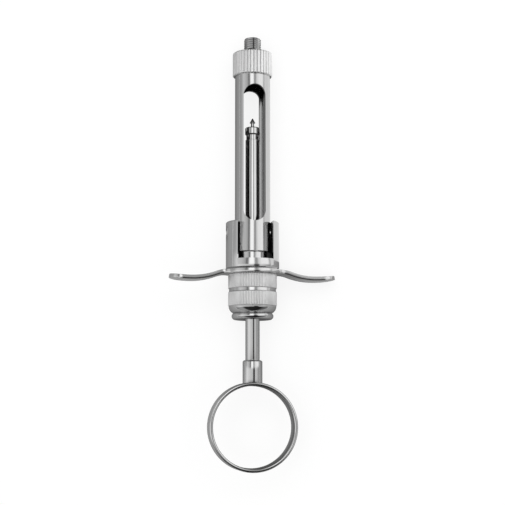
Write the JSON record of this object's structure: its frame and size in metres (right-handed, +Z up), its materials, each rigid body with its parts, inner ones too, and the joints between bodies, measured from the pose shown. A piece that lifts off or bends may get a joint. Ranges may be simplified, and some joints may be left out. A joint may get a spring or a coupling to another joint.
{
  "type": "dental aspirating syringe",
  "caption": "Metal dental syringe for glass cartridges: windowed barrel in a hinged fork, threaded needle adaptor, winged finger plate, knurled collars, harpoon plunger and thumb ring.",
  "frame": {"origin": "on the table below the middle of the whole syringe, as it lies at rest", "axes": "+Y towards the needle end, +Z up from the table, +X towards the wing tip that touches the table"},
  "size_m": [0.0508, 0.1358, 0.0182],
  "materials": {
    "polished_steel": "polished",
    "satin_steel": "satin, lengthwise polish",
    "knurled_steel": "straight knurl, satin",
    "spring_steel": "drawn wire"
  },
  "bodies": {
    "holder": {"barrel": "satin_steel", "hinge_yoke": "polished_steel", "pivot_screw_left": "polished_steel", "pivot_screw_right": "polished_steel", "return_spring": "spring_steel", "finger_plate": "polished_steel", "clamp_collar": "knurled_steel", "spring_housing": "knurled_steel", "guide_bush": "polished_steel"},
    "adaptor": {"needle_adaptor": "knurled_steel"},
    "sleeve": {"locking_sleeve": "polished_steel"},
    "plunger": {"plunger_rod": "polished_steel", "plunger_tip": "polished_steel"},
    "ring": {"ring_socket": "polished_steel", "thumb_ring": "polished_steel"}
  },
  "joints": [
    {"name": "plunger_slide", "type": "slide", "parent": "holder", "child": "plunger", "axis": [0, 0.9992, -0.0404], "range_m": [-0.0353, 0.0123]},
    {"name": "ring_turn", "type": "hinge", "parent": "plunger", "child": "ring", "pos_m": [0, -0.03376, 0.01012], "axis": [0, 0.9992, -0.0404], "continuous": true},
    {"name": "sleeve_slide", "type": "slide", "parent": "holder", "child": "sleeve", "axis": [0, 0.9992, -0.0404], "range_m": [-0.0041, 0], "stiffness_N_per_m": 600, "springref_m": 0.003, "deforming": ["return_spring"]},
    {"name": "adaptor_turn", "type": "hinge", "parent": "holder", "child": "adaptor", "pos_m": [0, 0.05546, 0.00651], "axis": [0, 0.9992, -0.0404], "range_deg": [0, 2160]}
  ]
}
